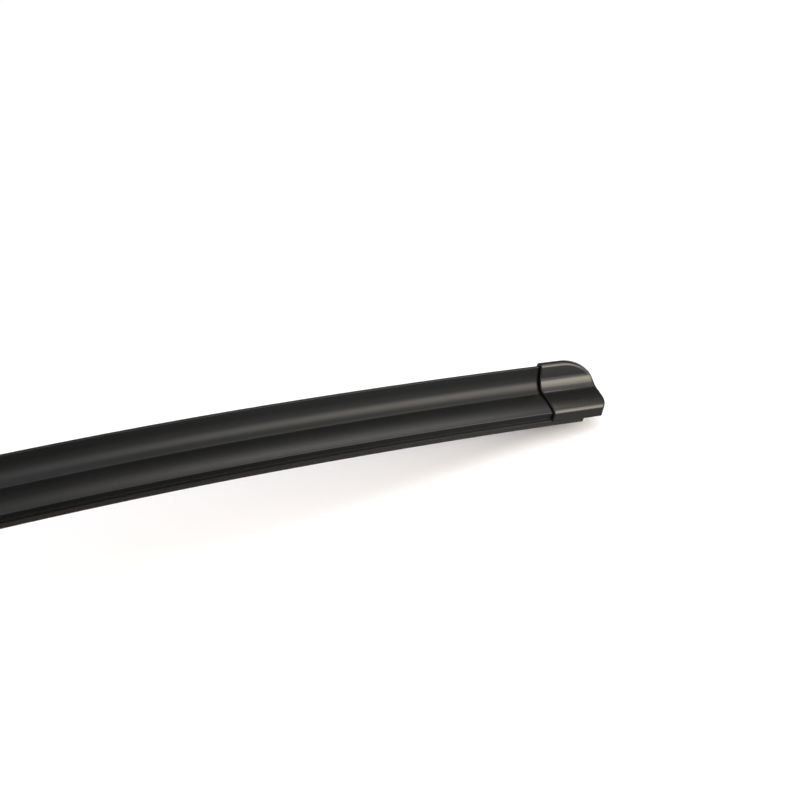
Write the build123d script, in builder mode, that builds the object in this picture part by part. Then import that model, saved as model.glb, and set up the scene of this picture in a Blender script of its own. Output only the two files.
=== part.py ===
from build123d import *
from math import atan2, degrees, sqrt
import os

# Flat wiper blade with a spoiler, bowed as it is when it is off the car.
# Frame: origin on the middle of the arm's pivot pin, X along the blade, Y to the rear of the
# blade (the fin's side), Z up and away from the glass. All sizes are in millimetres.
# Sections across the blade are drawn with their x to the rear and their y away from the glass,
# measured from the top of the spring rails.

# Blade and its bow: three tangent arcs each way from the middle
blade_length = 600.0
bow_radius_middle = 1030.0
bow_radius_between = 1360.0
bow_radius_tip = 2080.0
pin_height = 11.5            # pin centre above the top of the rails

# Clearances
slide_gap = 0.1              # between pieces that slide together
pin_gap = 0.05               # round the pin in its holes

# Spring rails
rail_width = 3.4
rail_thickness = 0.9
rail_end_inset = 4.0         # the rails end this much short of the rubber

# Wiper rubber, from its crown down to its lip
web_half = 1.35
crown_half = 2.0
crown_height = 1.1
shoulder_half = 2.9
shoulder_height = 1.0
neck_half = 0.5
neck_height = 0.9
wedge_half = 2.3
wedge_side = 0.7
wedge_height = 2.5
lip_root_half = 0.75
lip_half = 0.4
lip_height = 1.7

# Spoiler
spoiler_wall = 0.75          # thickness beside the rails
claw_floor = 0.5             # thickness of the claws under the rails
claw_reach = 1.0             # how far the claws reach in under the rails
lip_top = 1.3                # height of the sharp front lip
flange_crown = 0.3           # rise of the flange's arc over its chord
fin_height = 10.1
fin_thickness = 0.8          # at its top
fin_lean = 1.5               # how far its front comes forward from the top to the root
fin_root_height = 3.55       # where flange and fin would meet without their sweep
fin_sweep_radius = 5.2
fin_edge_radius = 0.3
groove_depth = 0.3
groove_width = 0.4
groove_height = -0.25        # middle of the groove along the front face

# End caps
cap_wall = 0.75
cap_length = 19.3
cap_over_rubber = 16.6       # from the cap's mouth to the rubber's end
cap_end_run = 12.0           # length and drop of the round end, seen from the side
cap_end_drop = 7.7
cap_end_radius = 5.4         # where that end turns down
cap_plan_radius = 4.5        # front corner of the end, seen from above
cap_plan_inset = 2.1         # how far that corner falls back at the skirt
cap_lip_radius = 1.8
cap_edge_radius = 1.1
cap_back_radius = 1.2
cap_rim = 0.25               # chamfer round the mouth
cap_spoiler_depth = 8.6
cap_slot_half = 3.3

# Connector bracket
sheet = 1.0
bracket_length = 40.0
ear_length = 18.0
ear_radius = 4.6
claw_length = 8.0
claw_tuck = 1.2              # how far the bracket's claws fold in under the rails

# Pivot pin and hook adapter
pin_radius = 2.5
pin_recess = 0.4             # pin ends below the housing's sides
adapter_width = 8.8
nose_radius = 4.5
adapter_tail = 17.0
adapter_wall = 1.2
adapter_top = 1.7
adapter_corner = 1.5
tongue_root = 7.0            # from the pin to the root of the spring tongue
tongue_length = 7.0
tongue_half = 2.3
tongue_slot = 0.7
nub_radius = 1.9
nub_height = 1.5
nub_edge = 0.4
nub_from_pin = 11.0

# Connector housing
housing_length = 56.0
housing_width = 17.0
housing_step = 0.4           # ends of the housing above the collars
housing_flat = 22.0          # length of the flat on the top
housing_rise = 5.0           # height of the flat above the pin
housing_hump_radius = 7.0
housing_corner_radius = 3.0
collar_length = 9.0          # collar round each spoiler, past the housing
spoiler_start = 24.0         # from the middle to the inner end of a spoiler

# Places that follow from the sizes above
half_length = blade_length / 2
rail_inner = web_half + slide_gap
rail_outer = rail_inner + rail_width
channel_half = rail_outer + slide_gap
channel_floor = -rail_thickness - slide_gap
channel_roof = crown_height + slide_gap
claw_bottom = channel_floor - claw_floor
spoiler_half = channel_half + spoiler_wall
fin_front = spoiler_half - fin_thickness
fin_root = (fin_front - fin_lean, fin_root_height)
cap_gap = slide_gap + cap_wall
cap_half = spoiler_half + cap_gap
cap_bottom = claw_bottom
cap_top = fin_height + cap_gap
cap_mouth = half_length - cap_over_rubber
bracket_half = channel_half + sheet
collar_end = housing_length / 2 + collar_length
housing_shoulder = cap_top + housing_step - pin_height
bow_drop = (bracket_length / 2) ** 2 / (2 * bow_radius_middle)
bracket_claw_floor = channel_floor - bow_drop
bracket_bottom = bracket_claw_floor - sheet
channel_mouth = min(claw_bottom - cap_gap, bracket_bottom) - slide_gap
housing_foot = bracket_bottom - pin_height

with BuildLine(Plane.XZ) as spine:
    third = half_length / 3
    arc = JernArc((0, -pin_height), (1, 0), bow_radius_middle, -degrees(third / bow_radius_middle))
    arc = JernArc(arc @ 1, arc % 1, bow_radius_between, -degrees(third / bow_radius_between))
    JernArc(arc @ 1, arc % 1, bow_radius_tip, -degrees(third / bow_radius_tip))
bow = spine.wires()[0]


def across(distance):
    """Section plane at a distance along the right half of the bow."""
    place = distance / half_length
    return Plane(origin=bow @ place, x_dir=(0, 1, 0), z_dir=bow % place)


def along(start, end):
    """Stretch of the right half of the bow between two distances from the middle."""
    return bow.trim(start / half_length, end / half_length)


def corner(*point):
    """Corner of the open sketch that lies nearest to a point."""
    return vertices().sort_by_distance(point)[0]


def spoiler_outline(top, gap=0.0):
    """Outside of the spoiler's section, up to a height, grown by a gap: claws, sharp front
    lip, sloping flange and the fin that sweeps up from it."""
    lean = fin_lean / (fin_height - fin_root_height)
    with BuildSketch() as outline:
        with BuildLine():
            Polyline((spoiler_half, claw_bottom), (-spoiler_half, claw_bottom), (-spoiler_half, lip_top))
            SagittaArc((-spoiler_half, lip_top), fin_root, flange_crown)
            Polyline(
                fin_root,
                (fin_front + lean * (top - fin_height), top),
                (spoiler_half, top),
                (spoiler_half, claw_bottom),
            )
        make_face()
        if gap:
            offset(amount=gap, kind=Kind.INTERSECTION)
        fillet(corner(*fin_root), fin_sweep_radius - gap)
    return outline.sketch


def channel():
    """Room for the rails and the rubber's crown, open below between two lips."""
    with BuildSketch() as room:
        with BuildLine():
            Polyline(
                (-channel_half, channel_floor),
                (-channel_half, channel_roof),
                (channel_half, channel_roof),
                (channel_half, channel_floor),
                (cap_slot_half, channel_floor),
                (cap_slot_half, channel_mouth),
                (-cap_slot_half, channel_mouth),
                (-cap_slot_half, channel_floor),
                close=True,
            )
        make_face()
    return room.sketch


# Wiper rubber: crown and shoulders hold the rails between them, a thin neck lets the lip flip
with BuildPart() as wiper_rubber:
    shoulder_bottom = channel_floor - shoulder_height
    wedge_top = shoulder_bottom - neck_height
    wedge_bottom = wedge_top - wedge_height
    rear_side = [
        (crown_half, crown_height),
        (crown_half, slide_gap),
        (web_half, slide_gap),
        (web_half, channel_floor),
        (shoulder_half, channel_floor),
        (shoulder_half, shoulder_bottom),
        (neck_half, shoulder_bottom),
        (neck_half, wedge_top),
        (wedge_half, wedge_top),
        (wedge_half, wedge_top - wedge_side),
        (lip_root_half, wedge_bottom),
        (lip_half, wedge_bottom - lip_height),
    ]
    front_side = [(-y, z) for y, z in reversed(rear_side)]
    with BuildSketch(across(0)):
        with BuildLine():
            Polyline(*rear_side, *front_side, close=True)
        make_face()
    sweep(path=along(0, half_length))
    mirror(about=Plane.YZ)

# Spring rails: flat strips in the rubber's two side grooves
rails = {}
for name, side in (("spring_rail_front", -1), ("spring_rail_rear", 1)):
    with BuildPart() as rail:
        with BuildSketch(across(0)):
            with Locations((side * (rail_inner + rail_width / 2), -rail_thickness / 2)):
                Rectangle(rail_width, rail_thickness)
        sweep(path=along(0, half_length - rail_end_inset))
        mirror(about=Plane.YZ)
    rails[name] = rail.part

# Spoilers: soft strips whose claws slide over the rails
with BuildPart() as spoiler_right:
    with BuildSketch(across(spoiler_start)):
        add(spoiler_outline(fin_height))
        fillet([corner(fin_front, fin_height), corner(spoiler_half, fin_height)], fin_edge_radius)
        with Locations((0, -rail_thickness / 2)):
            Rectangle(2 * channel_half, rail_thickness + 2 * slide_gap, mode=Mode.SUBTRACT)
        with Locations((0, channel_roof)):
            crown_room = 2 * (crown_half + slide_gap)
            Rectangle(crown_room, 2 * channel_roof, align=(Align.CENTER, Align.MAX), mode=Mode.SUBTRACT)
        claw_opening = 2 * (rail_outer - claw_reach)
        Rectangle(claw_opening, -claw_bottom, align=(Align.CENTER, Align.MAX), mode=Mode.SUBTRACT)
        with Locations((-spoiler_half, groove_height)):
            Rectangle(2 * groove_depth, groove_width, mode=Mode.SUBTRACT)
    sweep(path=along(spoiler_start, cap_mouth + cap_spoiler_depth - slide_gap))

with BuildPart() as spoiler_left:
    mirror(spoiler_right.part, about=Plane.YZ)

# End caps: the spoiler's section one wall larger, cut to a round end by a side and a plan outline
with BuildPart() as end_cap_right:
    mouth = across(cap_mouth)
    rear_view = Plane(origin=mouth.origin, x_dir=mouth.z_dir, z_dir=(0, -1, 0)).offset(-2 * cap_half)
    plan_view = Plane(origin=mouth.origin, x_dir=mouth.z_dir, z_dir=mouth.y_dir)
    with BuildSketch(mouth):
        add(spoiler_outline(cap_top, cap_gap))
        fillet(corner(-cap_half, lip_top + cap_gap), cap_lip_radius)
    extrude(amount=cap_length)
    with BuildSketch(rear_view):
        past_turn = cap_end_run - cap_end_radius
        below_turn = cap_end_drop - cap_end_radius
        shoulder_radius = (past_turn**2 + cap_end_drop**2 - cap_end_radius**2) / (2 * below_turn)
        shoulder_turn = degrees(atan2(past_turn, shoulder_radius - cap_end_drop))
        with BuildLine():
            top = Line((0, cap_top), (cap_length - cap_end_run, cap_top))
            shoulder = JernArc(top @ 1, (1, 0), shoulder_radius, -shoulder_turn)
            turn = JernArc(shoulder @ 1, shoulder % 1, cap_end_radius, shoulder_turn - 90)
            Polyline(turn @ 1, (cap_length, cap_bottom), (0, cap_bottom), (0, cap_top))
        make_face()
    extrude(amount=4 * cap_half, mode=Mode.INTERSECT)
    with BuildSketch(plan_view):
        corner_width = sqrt(cap_plan_radius**2 - (cap_plan_radius - cap_plan_inset) ** 2)
        with Locations((0, corner_width - cap_plan_radius - cap_half)):
            Rectangle(cap_length, 4 * cap_half, align=Align.MIN)
        fillet(corner(cap_length, -cap_half), cap_plan_radius)
    extrude(amount=2 * cap_top, both=True, mode=Mode.INTERSECT)
    fin_middle = (cap_length - cap_end_run) / 2
    fin_front_edge = mouth.from_local_coords((fin_front - cap_gap, cap_top, fin_middle))
    fin_back_edge = mouth.from_local_coords((cap_half, cap_top, fin_middle))
    fillet(edges().sort_by_distance(fin_front_edge)[0], cap_edge_radius)
    fillet(edges().sort_by_distance(fin_back_edge)[0], cap_back_radius)
    mouth_rim = faces().sort_by(Axis(mouth.origin, mouth.z_dir))[0].edges()
    chamfer(mouth_rim, cap_rim)
    with BuildSketch(mouth):
        add(spoiler_outline(fin_height, slide_gap))
    extrude(amount=cap_spoiler_depth, mode=Mode.SUBTRACT)
    with BuildSketch(mouth):
        add(channel())
    extrude(amount=cap_over_rubber + slide_gap, mode=Mode.SUBTRACT)

with BuildPart() as end_cap_left:
    mirror(end_cap_right.part, about=Plane.YZ)

# Connector bracket: pressed sheet, raised over the rubber's crown, with two ears and four claws
with BuildPart() as connector_bracket:
    crown_side = crown_half + 2 * slide_gap
    with BuildSketch(across(0)):
        with BuildLine():
            Polyline(
                (0, channel_roof),
                (-crown_side, channel_roof),
                (-crown_side, 0),
                (-bracket_half, 0),
                (-bracket_half, sheet),
                (-crown_side - sheet, sheet),
                (-crown_side - sheet, channel_roof + sheet),
                (0, channel_roof + sheet),
                close=True,
            )
        make_face()
    extrude(amount=bracket_length / 2)
    with BuildSketch(across(0).offset(bracket_length / 2 - claw_length)):
        with BuildLine():
            Polyline(
                (-bracket_half, sheet),
                (-bracket_half, bracket_bottom),
                (-channel_half + claw_tuck, bracket_bottom),
                (-channel_half + claw_tuck, bracket_claw_floor),
                (-channel_half, bracket_claw_floor),
                (-channel_half, sheet),
                close=True,
            )
        make_face()
    extrude(amount=claw_length)
    mirror(about=Plane.YZ)
    with BuildSketch(Plane.XZ.offset(channel_half)):
        Circle(ear_radius)
        with Locations((0, sheet / 2 - pin_height)):
            Rectangle(ear_length, sheet)
        make_hull()
        Circle(pin_radius + pin_gap, mode=Mode.SUBTRACT)
    extrude(amount=sheet)
    mirror(about=Plane.XZ)

# Pivot pin
with BuildPart() as pivot_pin:
    with BuildSketch(Plane.XZ):
        Circle(pin_radius)
    extrude(amount=housing_width / 2 - pin_recess, both=True)

# Hook adapter: round nose for the arm's hook, and a spring tongue with a nub that locks it
with BuildPart() as hook_adapter:
    with BuildSketch(Plane.XZ):
        Circle(nose_radius)
        Rectangle(adapter_tail, 2 * nose_radius, align=(Align.MAX, Align.CENTER))
        fillet(vertices().group_by(Axis.X)[0], adapter_corner)
        Circle(pin_radius + pin_gap, mode=Mode.SUBTRACT)
    extrude(amount=adapter_width / 2, both=True)
    with BuildSketch(Plane.XY.offset(-nose_radius)):
        hollow_length = adapter_tail - adapter_wall - nose_radius
        with Locations((adapter_wall - adapter_tail, 0)):
            Rectangle(
                hollow_length,
                adapter_width - 2 * adapter_wall,
                align=(Align.MIN, Align.CENTER),
            )
    extrude(amount=2 * nose_radius - adapter_top, mode=Mode.SUBTRACT)
    with BuildSketch(Plane.XY.offset(nose_radius)):
        with Locations((-tongue_root, 0)):
            Rectangle(
                tongue_length + tongue_slot,
                2 * (tongue_half + tongue_slot),
                align=(Align.MAX, Align.CENTER),
            )
            Rectangle(
                tongue_length,
                2 * tongue_half,
                align=(Align.MAX, Align.CENTER),
                mode=Mode.SUBTRACT,
            )
    extrude(amount=-adapter_top, mode=Mode.SUBTRACT)
    with BuildSketch(Plane.XY.offset(nose_radius)):
        with Locations((-nub_from_pin, 0)):
            Circle(nub_radius)
    extrude(amount=nub_height)
    chamfer(edges().group_by(Axis.Z)[-1], nub_edge)

# Connector housing: a cover with a slot for the arm, and a collar round each spoiler's end
with BuildPart() as connector_housing:
    housing_half = housing_width / 2
    with BuildSketch(Plane.XZ):
        with BuildLine():
            Polyline(
                (-housing_length / 2, housing_foot),
                (-housing_length / 2, housing_shoulder),
                (-housing_flat / 2, housing_rise),
                (housing_flat / 2, housing_rise),
                (housing_length / 2, housing_shoulder),
                (housing_length / 2, housing_foot),
                close=True,
            )
        make_face()
        fillet(vertices().group_by(Axis.Y)[-1], housing_hump_radius)
        fillet(vertices().group_by(Axis.Y)[1], housing_hump_radius)
    extrude(amount=housing_half, both=True)
    fillet(edges().filter_by(Axis.Z), housing_corner_radius)
    with BuildSketch(across(spoiler_start)):
        add(spoiler_outline(fin_height, cap_gap))
        fillet(corner(-spoiler_half - cap_gap, lip_top + cap_gap), cap_lip_radius)
    sweep(path=along(spoiler_start, collar_end))
    with BuildSketch(across(spoiler_start - slide_gap)):
        add(spoiler_outline(fin_height, slide_gap))
    sweep(path=along(spoiler_start - slide_gap, collar_end + slide_gap), mode=Mode.SUBTRACT)
    with BuildSketch(across(0)):
        add(channel())
    sweep(path=along(0, collar_end + slide_gap), mode=Mode.SUBTRACT)
    with BuildSketch(Plane.XY.offset(housing_rise)):
        Rectangle(bracket_length + 2 * slide_gap, 2 * (bracket_half + slide_gap))
    extrude(amount=-2 * (pin_height + housing_rise), mode=Mode.SUBTRACT)
    with BuildSketch(Plane.XZ):
        Circle(pin_radius + pin_gap)
    extrude(amount=housing_half, both=True, mode=Mode.SUBTRACT)
    split(bisect_by=Plane.YZ)
    mirror(about=Plane.YZ)

pieces = {
    "wiper_rubber": wiper_rubber.part,
    **rails,
    "spoiler_left": spoiler_left.part,
    "spoiler_right": spoiler_right.part,
    "end_cap_left": end_cap_left.part,
    "end_cap_right": end_cap_right.part,
    "connector_bracket": connector_bracket.part,
    "connector_housing": connector_housing.part,
    "pivot_pin": pivot_pin.part,
    "hook_adapter": hook_adapter.part,
}
os.makedirs("parts", exist_ok=True)
for name, piece in pieces.items():
    piece.label = name
    export_step(piece, f"parts/{name}.step")
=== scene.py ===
import math

import bpy
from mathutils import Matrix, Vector


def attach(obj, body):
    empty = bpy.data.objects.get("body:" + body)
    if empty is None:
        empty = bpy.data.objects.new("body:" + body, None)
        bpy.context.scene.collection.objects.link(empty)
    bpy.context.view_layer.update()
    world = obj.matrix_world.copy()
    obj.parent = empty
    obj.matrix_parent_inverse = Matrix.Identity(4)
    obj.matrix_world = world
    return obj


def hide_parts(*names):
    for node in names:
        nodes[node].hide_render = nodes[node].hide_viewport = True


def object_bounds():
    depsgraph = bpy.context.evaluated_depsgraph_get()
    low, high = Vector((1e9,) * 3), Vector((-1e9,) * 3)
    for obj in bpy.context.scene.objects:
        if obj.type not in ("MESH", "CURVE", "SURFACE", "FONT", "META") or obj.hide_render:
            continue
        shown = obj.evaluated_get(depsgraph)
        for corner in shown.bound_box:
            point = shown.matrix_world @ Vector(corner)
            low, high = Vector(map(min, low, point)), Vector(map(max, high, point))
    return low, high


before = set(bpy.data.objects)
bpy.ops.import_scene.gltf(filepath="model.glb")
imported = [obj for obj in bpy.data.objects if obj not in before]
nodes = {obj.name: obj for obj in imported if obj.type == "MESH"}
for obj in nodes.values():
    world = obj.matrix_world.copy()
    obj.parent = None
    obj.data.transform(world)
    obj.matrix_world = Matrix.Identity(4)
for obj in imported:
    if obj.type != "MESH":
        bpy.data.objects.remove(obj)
cad_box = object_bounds()

# The blade's sizes are in millimetres, as in the part's source, and become metres where a mesh is made.
# Counts in the finishes are to the metre, and the stage's own sizes are in metres.
MM = 0.001
MICRON = 0.000001


class Wire:
    """An output of a shader node. Arithmetic on it adds Math nodes to the same finish."""

    def __init__(self, finish, socket):
        self.finish = finish
        self.socket = socket

    def combine(self, operation, first, second):
        """Adds a Math node on two numbers or wires."""
        return self.finish.node("Math", {"operation": operation}, {0: first, 1: second})

    def __add__(self, other):
        return self.combine("ADD", self, other)

    def __radd__(self, other):
        return self.combine("ADD", other, self)

    def __sub__(self, other):
        return self.combine("SUBTRACT", self, other)

    def __rsub__(self, other):
        return self.combine("SUBTRACT", other, self)

    def __mul__(self, other):
        return self.combine("MULTIPLY", self, other)

    def __rmul__(self, other):
        return self.combine("MULTIPLY", other, self)


class Finish:
    """The shader nodes of a material, or of the room round the blade."""

    # Sockets of a Mix node that its colours use, which share their names with its other kinds
    FIRST_COLOUR = 6
    SECOND_COLOUR = 7
    MIXED_COLOUR = 2

    def __init__(self, owner, shader="Principled BSDF"):
        owner.use_nodes = True
        self.owner = owner
        self.tree = owner.node_tree
        self.shader = self.tree.nodes[shader]

    def node(self, kind, settings=None, inputs=None, output=0):
        """Adds any node: its settings first, then the values or links of its sockets."""
        made = self.tree.nodes.new("ShaderNode" + kind)
        for name, value in (settings or {}).items():
            setattr(made, name, value)
        for name, value in (inputs or {}).items():
            self.feed(made.inputs[name], value)
        return Wire(self, made.outputs[output])

    def feed(self, socket, value):
        """Links a wire to a socket, or sets the socket's own value."""
        if isinstance(value, Wire):
            self.tree.links.new(value.socket, socket)
        else:
            socket.default_value = value

    def surface(self, **inputs):
        """Sets the shader's own sockets, named with _ for a space."""
        for name, value in inputs.items():
            self.feed(self.shader.inputs[name.replace("_", " ")], value)

    def place(self, stretch=(1, 1, 1), kind="Object"):
        """Places on the surface, stretched: in the blade's frame, or along and across a strip."""
        spot = self.node("TexCoord", output=kind)
        return self.node("Mapping", inputs={"Vector": spot, "Scale": stretch})

    def part(self, vector, axis):
        """One number of a vector: X, Y or Z."""
        return self.node("SeparateXYZ", inputs={0: vector}, output=axis)

    def noise(self, place, scale, detail):
        """Soft noise over places, from 0 to 1."""
        return self.node("TexNoise", inputs={"Vector": place, "Scale": scale, "Detail": detail})

    def spots(self, count, detail):
        """Noise in the blade's frame, by its count of spots to the metre."""
        return self.noise(self.place(), count, detail)

    def streaks(self, along, across, detail):
        """Noise drawn out along a strip, by its counts to the metre along and across it."""
        return self.noise(self.place((along, across, 1), "UV"), scale=1.0, detail=detail)

    def ramp(self, value, start, end, low=0.0, high=1.0):
        """Goes from low to high while the value goes from start to end."""
        settings = {"interpolation_type": "SMOOTHSTEP"}
        stops = {"Value": value, "From Min": start, "From Max": end, "To Min": low, "To Max": high}
        return self.node("MapRange", settings, stops)

    def hill(self, value, start, full, fades, end):
        """Rises from its start to 1 where it is full, and falls from where it fades to 0 at its end."""
        return self.ramp(value, start, full) * self.ramp(value, end, fades)

    def between(self, amount, low, high):
        """Colour between two colours."""
        colours = {"Factor": amount, self.FIRST_COLOUR: (*low, 1), self.SECOND_COLOUR: (*high, 1)}
        return self.node("Mix", {"data_type": "RGBA"}, colours, output=self.MIXED_COLOUR)

    def bump(self, height, depth):
        """Normals of a surface that rises by the depth where the height is 1."""
        return self.node("Bump", inputs={"Height": height, "Distance": depth})


def new_finish(name):
    """Finish of a new material."""
    return Finish(bpy.data.materials.new(name))


def extruded_rubber():
    """Satin black strip, with faint lines from its die along the blade."""
    finish = new_finish("extruded_rubber")
    fine_lines = finish.streaks(along=5, across=3600, detail=2.0)
    broad_lines = finish.streaks(along=3, across=700, detail=2.0)
    cloud = finish.spots(60, detail=4.0)
    grain = finish.spots(9000, detail=2.0)
    finish.surface(
        Base_Color=finish.between(cloud, (0.0025, 0.0025, 0.0025), (0.0045, 0.0044, 0.0042)),
        Roughness=0.24 + 0.06 * cloud + 0.05 * broad_lines,
        Normal=finish.bump(0.5 * grain + fine_lines + 2.0 * broad_lines, depth=3 * MICRON),
        Specular_IOR_Level=0.17,
    )
    return finish.owner


def wiping_rubber():
    """Matt rubber, a little brown, dusted along the blade."""
    finish = new_finish("wiping_rubber")
    dust = finish.streaks(along=6, across=1500, detail=3.0)
    grain = finish.spots(6000, detail=3.0)
    finish.surface(
        Base_Color=finish.between(dust, (0.0068, 0.0055, 0.0042), (0.0155, 0.0128, 0.0096)),
        Roughness=0.50 + 0.15 * dust,
        Normal=finish.bump(grain, depth=6 * MICRON),
        Specular_IOR_Level=0.40,
    )
    return finish.owner


def moulded_plastic(name, dark, light, roughness, shine):
    """Black moulding with the fine grain of an eroded tool."""
    finish = new_finish(name)
    cloud = finish.spots(90, detail=4.0)
    grain = finish.spots(7000, detail=3.0)
    finish.surface(
        Base_Color=finish.between(cloud, dark, light),
        Roughness=roughness + 0.05 * cloud,
        Normal=finish.bump(grain, depth=2 * MICRON),
        Specular_IOR_Level=shine,
        Specular_Tint=(1, 0.97, 0.92, 1),
    )
    return finish.owner


def coated_steel():
    """Black coat on pressed steel, with a slight orange peel."""
    finish = new_finish("coated_steel")
    peel = finish.spots(1500, detail=2.0)
    cloud = finish.spots(120, detail=3.0)
    finish.surface(
        Base_Color=finish.between(cloud, (0.016, 0.016, 0.017), (0.030, 0.030, 0.031)),
        Roughness=0.38 + 0.10 * cloud,
        Normal=finish.bump(peel, depth=10 * MICRON),
    )
    return finish.owner


def turned_steel():
    """Steel pin, with fine rings from the lathe."""
    finish = new_finish("turned_steel")
    rings = finish.noise(finish.place((200, 9000, 200)), scale=1.0, detail=2.0)
    finish.surface(
        Base_Color=finish.between(rings, (0.30, 0.30, 0.31), (0.44, 0.44, 0.45)),
        Metallic=1.0,
        Roughness=0.26 + 0.12 * rings,
        Normal=finish.bump(rings, depth=4 * MICRON),
    )
    return finish.owner


# Bow of the blade: half its length, the radius of each third from the middle out, the rails' top
HALF_LENGTH = 300.0
BOW_RADII = (1030.0, 1360.0, 2080.0)
RAIL_TOP = -11.5

# Spoiler: claws round the rails, a grooved front with a sharp lip, a crowned flange, a hollow fin.
# Each corner has its place across and above the rails' top, and its radius. The ends are distances from
# the blade's middle.
SPOILER_SECTION = [
    (5.70, -1.50, 0.25),
    (5.70, 10.10, 0.30),
    (4.90, 10.10, 0.28),
    (4.42, 7.30, 18.0),
    (3.62, 4.36, 4.6),
    (1.45, 3.24, 0.2),
    (-0.60, 2.92, 24.0),
    (-2.60, 2.44, 24.0),
    (-4.30, 1.89, 16.0),
    (-5.70, 1.30, 0.50),
    (-5.70, -0.05, 0.07),
    (-5.40, -0.05, 0.07),
    (-5.40, -0.45, 0.07),
    (-5.70, -0.45, 0.07),
    (-5.70, -1.50, 0.25),
    (-3.85, -1.50, 0.10),
    (-3.85, -1.00, 0.10),
    (-4.95, -1.00, 0.08),
    (-4.95, 0.10, 0.08),
    (-2.10, 0.10, 0.10),
    (-2.10, 1.20, 0.15),
    (2.10, 1.20, 0.15),
    (2.10, 0.10, 0.10),
    (4.95, 0.10, 0.08),
    (4.95, -1.00, 0.08),
    (3.85, -1.00, 0.10),
    (3.85, -1.50, 0.10),
]
SPOILER_ENDS = (24.0, 291.9)

# Wiper rubber, its rear half from the crown down to the lip
RUBBER_REAR = [
    (2.00, 1.10, 0.25),
    (2.00, 0.10, 0.10),
    (1.35, 0.10, 0.10),
    (1.35, -1.00, 0.10),
    (2.90, -1.00, 0.10),
    (2.90, -2.00, 0.20),
    (0.50, -2.00, 0.20),
    (0.50, -2.90, 0.20),
    (2.30, -2.90, 0.15),
    (2.30, -3.60, 0.20),
    (0.75, -5.40, 0.50),
    (0.40, -7.10, 0.06),
]


def on_bow(distance):
    """Place on the bow, and the ways along and up there, at a distance from the middle."""
    side = math.copysign(1, distance)
    rest = abs(distance)
    third = HALF_LENGTH / len(BOW_RADII)
    x, z, slope = 0.0, RAIL_TOP, 0.0
    for radius in BOW_RADII:
        turn = min(rest, third) / radius
        x += radius * (math.sin(slope + turn) - math.sin(slope))
        z += radius * (math.cos(slope + turn) - math.cos(slope))
        slope += turn
        rest -= min(rest, third)
    ahead = Vector((math.cos(slope), 0, -side * math.sin(slope)))
    up = Vector((side * math.sin(slope), 0, math.cos(slope)))
    return Vector((side * x, 0, z)), ahead, up


def rounded(corners, widest_turn=0.14):
    """Points of a closed section with their outward ways, from its corners (y, z, radius)."""
    outline = []
    for index, (y, z, radius) in enumerate(corners):
        here = Vector((y, z))
        into = (here - Vector(corners[index - 1][:2])).normalized()
        out = (Vector(corners[(index + 1) % len(corners)][:2]) - here).normalized()
        turn = math.atan2(into.x * out.y - into.y * out.x, into.dot(out))
        start = here - into * radius * math.tan(abs(turn) / 2)
        side = Vector((-into.y, into.x)) * math.copysign(1, turn)
        middle = start + side * radius
        steps = max(2, math.ceil(abs(turn) / widest_turn))
        for step in range(steps + 1):
            angle = turn * step / steps
            spoke = -side * math.cos(angle) + into * math.sin(abs(angle))
            outline.append((middle + spoke * radius, spoke * math.copysign(1, turn)))
    return outline


def strip(name, outline, start, end, longest_step=6.0):
    """Mesh of a section drawn along the bow, with its length and girth as its UV map."""
    girth = [0.0]
    for (point, _), (following, _) in zip(outline, outline[1:] + outline[:1]):
        girth.append(girth[-1] + (following - point).length)
    steps = math.ceil((end - start) / longest_step)
    stations = [start + (end - start) * step / steps for step in range(steps + 1)]
    count = len(outline)
    points, outward = [], []
    for station in stations:
        place, _, up = on_bow(station)
        for point, way in outline:
            points.append((place + Vector((0, point.x, 0)) + up * point.y) * MM)
            outward.append(Vector((0, way.x, 0)) + up * way.y)
    # Sides, with their places along and round the strip
    faces, spots, normals = [], [], []
    for row in range(steps):
        for column in range(count):
            ring = [(row, column), (row, column + 1), (row + 1, column + 1), (row + 1, column)]
            faces.append([r * count + c % count for r, c in ring])
            spots += [(stations[r] * MM, girth[c] * MM) for r, c in ring]
            normals += [outward[vertex] for vertex in faces[-1]]
    # Flat ends
    last = steps * count
    for end_face, way in (
        (range(count - 1, -1, -1), -on_bow(start)[1]),
        (range(last, last + count), on_bow(end)[1]),
    ):
        faces.append(list(end_face))
        spots += [(points[vertex].y, points[vertex].z) for vertex in end_face]
        normals += [way] * count
    mesh = bpy.data.meshes.new(name)
    mesh.from_pydata(points, [], faces)
    for spot, loop in zip(spots, mesh.uv_layers.new(name="along_across").data):
        loop.uv = spot
    mesh.shade_smooth()
    mesh.normals_split_custom_set(normals)
    made = bpy.data.objects.new(name, mesh)
    bpy.context.collection.objects.link(made)
    return made


def strips():
    """The long pieces, drawn along the bow, in the places of their solids."""
    spoiler = rounded(SPOILER_SECTION)
    near, far = SPOILER_ENDS
    rubber_front = [(-y, z, radius) for y, z, radius in reversed(RUBBER_REAR)]
    rubber = rounded((RUBBER_REAR + rubber_front)[::-1])
    made = (
        (strip("spoiler_strip_right", spoiler, near, far), "spoiler_right", "spoiler_rubber"),
        (strip("spoiler_strip_left", spoiler, -far, -near), "spoiler_left", "spoiler_rubber"),
        (strip("rubber_strip", rubber, -HALF_LENGTH, HALF_LENGTH), "wiper_rubber", "wiping_rubber"),
    )
    finishes = {"spoiler_rubber": extruded_rubber(), "wiping_rubber": wiping_rubber()}
    for piece, node, slot in made:
        piece.data.materials.append(finishes[slot])
        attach(piece, "blade")
        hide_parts(node)


def dress(material, *names):
    """Puts a material on nodes of the part, in place of their own."""
    for name in names:
        slots = nodes[name].data.materials
        slots.clear()
        slots.append(material)


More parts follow.
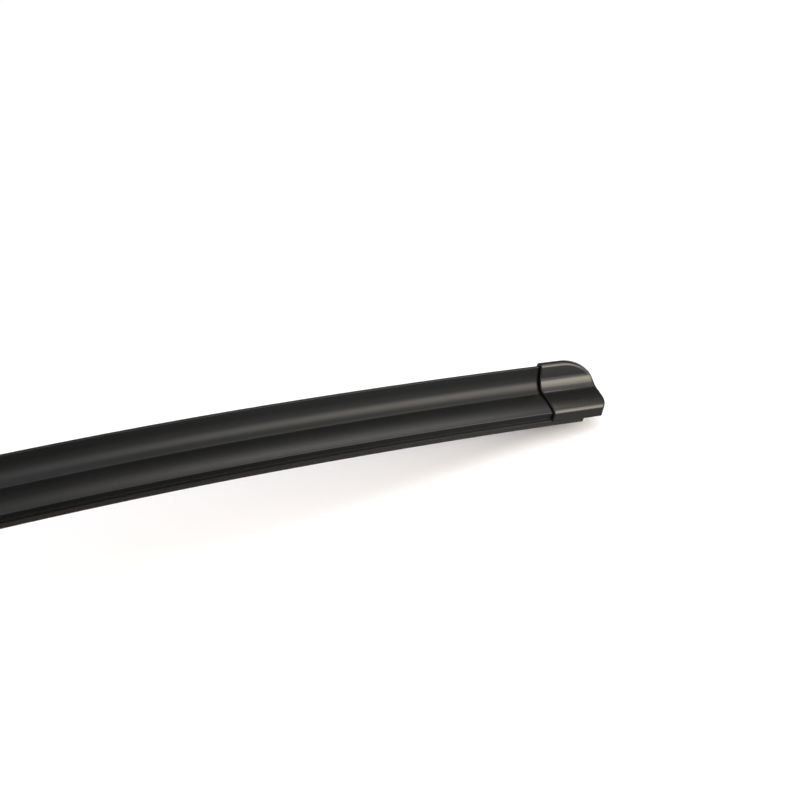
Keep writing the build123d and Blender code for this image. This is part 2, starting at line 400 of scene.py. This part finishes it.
def dress_nodes():
    """Finishes of the pieces that keep the shape of their solids."""
    cap = moulded_plastic(
        "cap_plastic",
        dark=(0.0038, 0.0037, 0.0035),
        light=(0.0065, 0.0062, 0.0058),
        roughness=0.14,
        shine=0.32,
    )
    housing = moulded_plastic(
        "housing_plastic",
        dark=(0.009, 0.009, 0.009),
        light=(0.015, 0.015, 0.015),
        roughness=0.26,
        shine=0.32,
    )
    adapter = moulded_plastic(
        "adapter_plastic",
        dark=(0.014, 0.014, 0.015),
        light=(0.022, 0.022, 0.023),
        roughness=0.34,
        shine=0.35,
    )
    dress(cap, "end_cap_left", "end_cap_right")
    dress(housing, "connector_housing")
    dress(adapter, "hook_adapter")
    dress(coated_steel(), "spring_rail_front", "spring_rail_rear", "connector_bracket")
    dress(turned_steel(), "pivot_pin")


def sheet(name, finish, left, right, near, far, height):
    """Flat sheet of the stage. It faces up, or down where near lies behind far."""
    mesh = bpy.data.meshes.new(name)
    corners = [(left, near, height), (right, near, height), (right, far, height), (left, far, height)]
    mesh.from_pydata(corners, [], [(0, 1, 2, 3)])
    mesh.materials.append(finish.owner)
    made = bpy.data.objects.new(name, mesh)
    bpy.context.collection.objects.link(made)
    return made


# Table: how far it reaches, its warm white, and the oval round the blade where it is lit and shaded,
# by its stretch and by where it starts and ends to turn plain white
TABLE_REACH = 40.0
TABLE_WHITE = (0.975, 0.944, 0.936, 1)
LIT_OVAL = (1.6, 3.2, 1)
LIT_FADES = (0.6, 1.4)


def floor():
    """White table: lit and shaded near the blade, plain white to the eye further off."""
    finish = new_finish("table_white")
    finish.surface(Base_Color=TABLE_WHITE, Roughness=0.9, Specular_IOR_Level=0.0)
    oval = {0: finish.place(LIT_OVAL)}
    away = finish.node("VectorMath", {"operation": "LENGTH"}, oval, output="Value")
    kinds = ("Camera", "Glossy", "Transmission")
    seen = sum(finish.node("LightPath", output=f"Is {kind} Ray") for kind in kinds)
    lit = Wire(finish, finish.shader.outputs["BSDF"])
    plain = finish.node("Emission", inputs={"Color": (1, 1, 1, 1), "Strength": 1.0})
    both = finish.node("MixShader", inputs={0: seen * finish.ramp(away, *LIT_FADES), 1: lit, 2: plain})
    finish.feed(finish.tree.nodes["Material Output"].inputs["Surface"], both)
    sheet("table", finish, -TABLE_REACH, TABLE_REACH, -TABLE_REACH, TABLE_REACH, cad_box[0].z)


def card(name, left, right, near, far, height):
    """Sheet that only reflections show: its finish, and the places along and across it."""
    finish = new_finish(name)
    made = sheet(name, finish, left, right, near, far, height)
    made.visible_camera = False
    made.visible_diffuse = False
    made.visible_transmission = False
    made.visible_shadow = False
    place = finish.place()
    return finish, finish.part(place, "X"), finish.part(place, "Y")


def give_light(finish, level, colour, strength):
    """Lets a card give off light, by the level at each place of it."""
    finish.surface(
        Base_Color=(0, 0, 0, 1),
        Specular_IOR_Level=0.0,
        Emission_Color=finish.between(level, (0, 0, 0), colour),
        Emission_Strength=strength,
    )


# Card on the table, whose levels are a painted reflection of the table's light and shade: how far it
# reaches, where each of its parts starts and where it is full, and their levels. The part far off in
# front has a slanted edge.
TABLE_CARD_REACH = 1.2
RIGHT_END = (0.14, 0.30)
LEFT_END = (0.02, -0.10)
FAR_OFF = (-0.335, -0.40)
FAR_OFF_SLANT = 0.9
IN_FRONT = (0.005, -0.02)
BEHIND = (0.025, 0.09)
MIDDLE_LEVEL = 0.04
ENDS_LEVEL = 0.23
FAR_MIDDLE_LEVEL = 0.06
FAR_ENDS_LEVEL = 0.67
# Share of the close levels left under and behind the blade: painted shadow of the blade on the table
UNDER_BLADE_PAINTED_SHADOW_SHARE = 0.7
BEHIND_LEVEL = 0.60


def painted_reflection_card():
    """Card on the table, painting its reflection: shade in front of the middle and under the blade,
    brighter at the ends, behind and further off.
    """
    reach = TABLE_CARD_REACH
    finish, along, across = card("painted_reflection_card", -reach, reach, -reach, reach, cad_box[0].z + MM)
    ends = finish.ramp(along, *RIGHT_END) + finish.ramp(along, *LEFT_END)
    far_off = finish.ramp(across - FAR_OFF_SLANT * along, *FAR_OFF)
    # Painted shadow: under and behind the blade the close levels drop to a share
    in_front = finish.ramp(across, *IN_FRONT, UNDER_BLADE_PAINTED_SHADOW_SHARE, 1.0)
    # Painted shade: the close levels are dark before the middle and brighter towards the ends
    close_level = MIDDLE_LEVEL + ENDS_LEVEL * ends
    far_level = FAR_MIDDLE_LEVEL + FAR_ENDS_LEVEL * ends
    level = in_front * (close_level + far_off * far_level) + BEHIND_LEVEL * finish.ramp(across, *BEHIND)
    give_light(finish, level, colour=(1, 1, 1), strength=2.8)


# Card overhead: its height, then along it and across it an edge, where its light is full, where it fades,
# and the other edge
BRIGHT_CARD_HEIGHT = 1.0
BRIGHT_ALONG = (0.20, 1.05, 1.30, 1.55)
BRIGHT_ACROSS = (0.07, 0.19, 0.22, 0.42)


def bright_card():
    """Panel overhead, which lights the spoiler's front lip."""
    left, *_, right = BRIGHT_ALONG
    front, *_, back = BRIGHT_ACROSS
    finish, along, across = card("bright_card", left, right, back, front, BRIGHT_CARD_HEIGHT)
    level = finish.hill(along, *BRIGHT_ALONG) * finish.hill(across, *BRIGHT_ACROSS)
    give_light(finish, level, colour=(1, 0.97, 0.93), strength=14.5)


# Room: its colours at the horizon and above, and the heights between which they meet
HORIZON_WHITE = (1, 1, 1)
UPPER_GREY = (0.13, 0.14, 0.15)
HORIZON_FADES = (0.08, 0.35)

# Soft lights of the room: the way to each, the angles from there, in degrees, where it starts to fade
# and where it ends, its strength and its colour
GLOWS = (
    ((0.71, -0.61, 0.35), 4, 26, 7.6, (1, 0.91, 0.73)),
    ((0.68, -0.73, 0.05), 5, 31, 2.8, (1, 0.97, 0.92)),
    ((0.45, -0.78, 0.42), 9, 25, 2.2, (0.95, 0.99, 1.06)),
    ((0.74, -0.22, 0.64), 5, 22, 2.3, (1, 1, 1)),
    ((-0.18, -0.30, 0.93), 15, 50, 2.25, (0.98, 0.99, 1.03)),
)


def room():
    """White round the horizon and dim above, with soft lights from the front right to overhead."""
    world = bpy.data.worlds.new("room")
    bpy.context.scene.world = world
    finish = Finish(world, "Background")
    way = finish.node("TexCoord", output="Generated")
    height = finish.part(way, "Z")
    light = finish.between(finish.ramp(height, *HORIZON_FADES), HORIZON_WHITE, UPPER_GREY)
    for middle, fades, ends, strength, colour in GLOWS:
        toward = {0: way, 1: Vector(middle).normalized()}
        facing = finish.node("VectorMath", {"operation": "DOT_PRODUCT"}, toward, output="Value")
        rim = math.cos(math.radians(ends))
        core = math.cos(math.radians(fades))
        added = {0: finish.ramp(facing, rim, core, 0, strength), 1: colour, 2: light}
        light = finish.node("VectorMath", {"operation": "MULTIPLY_ADD"}, added)
    finish.surface(Color=light)


# Camera: where it stands and looks in the blade's own frame, its lens and sensor, and its nearest sight
CAMERA_PLACE = Vector((74.3, -289.6, 214.4)) * MM
CAMERA_LOOK = Vector((0.39207, 0.70647, -0.58922))
CAMERA_LENS = 69.62
CAMERA_SENSOR = 36.0
CAMERA_NEAREST = 0.01


def camera():
    """Camera at the photograph's place."""
    made = bpy.data.objects.new("camera", bpy.data.cameras.new("camera"))
    made.data.lens = CAMERA_LENS
    made.data.sensor_width = CAMERA_SENSOR
    made.data.clip_start = CAMERA_NEAREST
    made.location = CAMERA_PLACE
    made.rotation_mode = "QUATERNION"
    made.rotation_quaternion = CAMERA_LOOK.to_track_quat("-Z", "Y")
    bpy.context.collection.objects.link(made)
    bpy.context.scene.camera = made


strips()
dress_nodes()
floor()
painted_reflection_card()
bright_card()
room()
camera()
bpy.context.scene.view_settings.view_transform = "Standard"
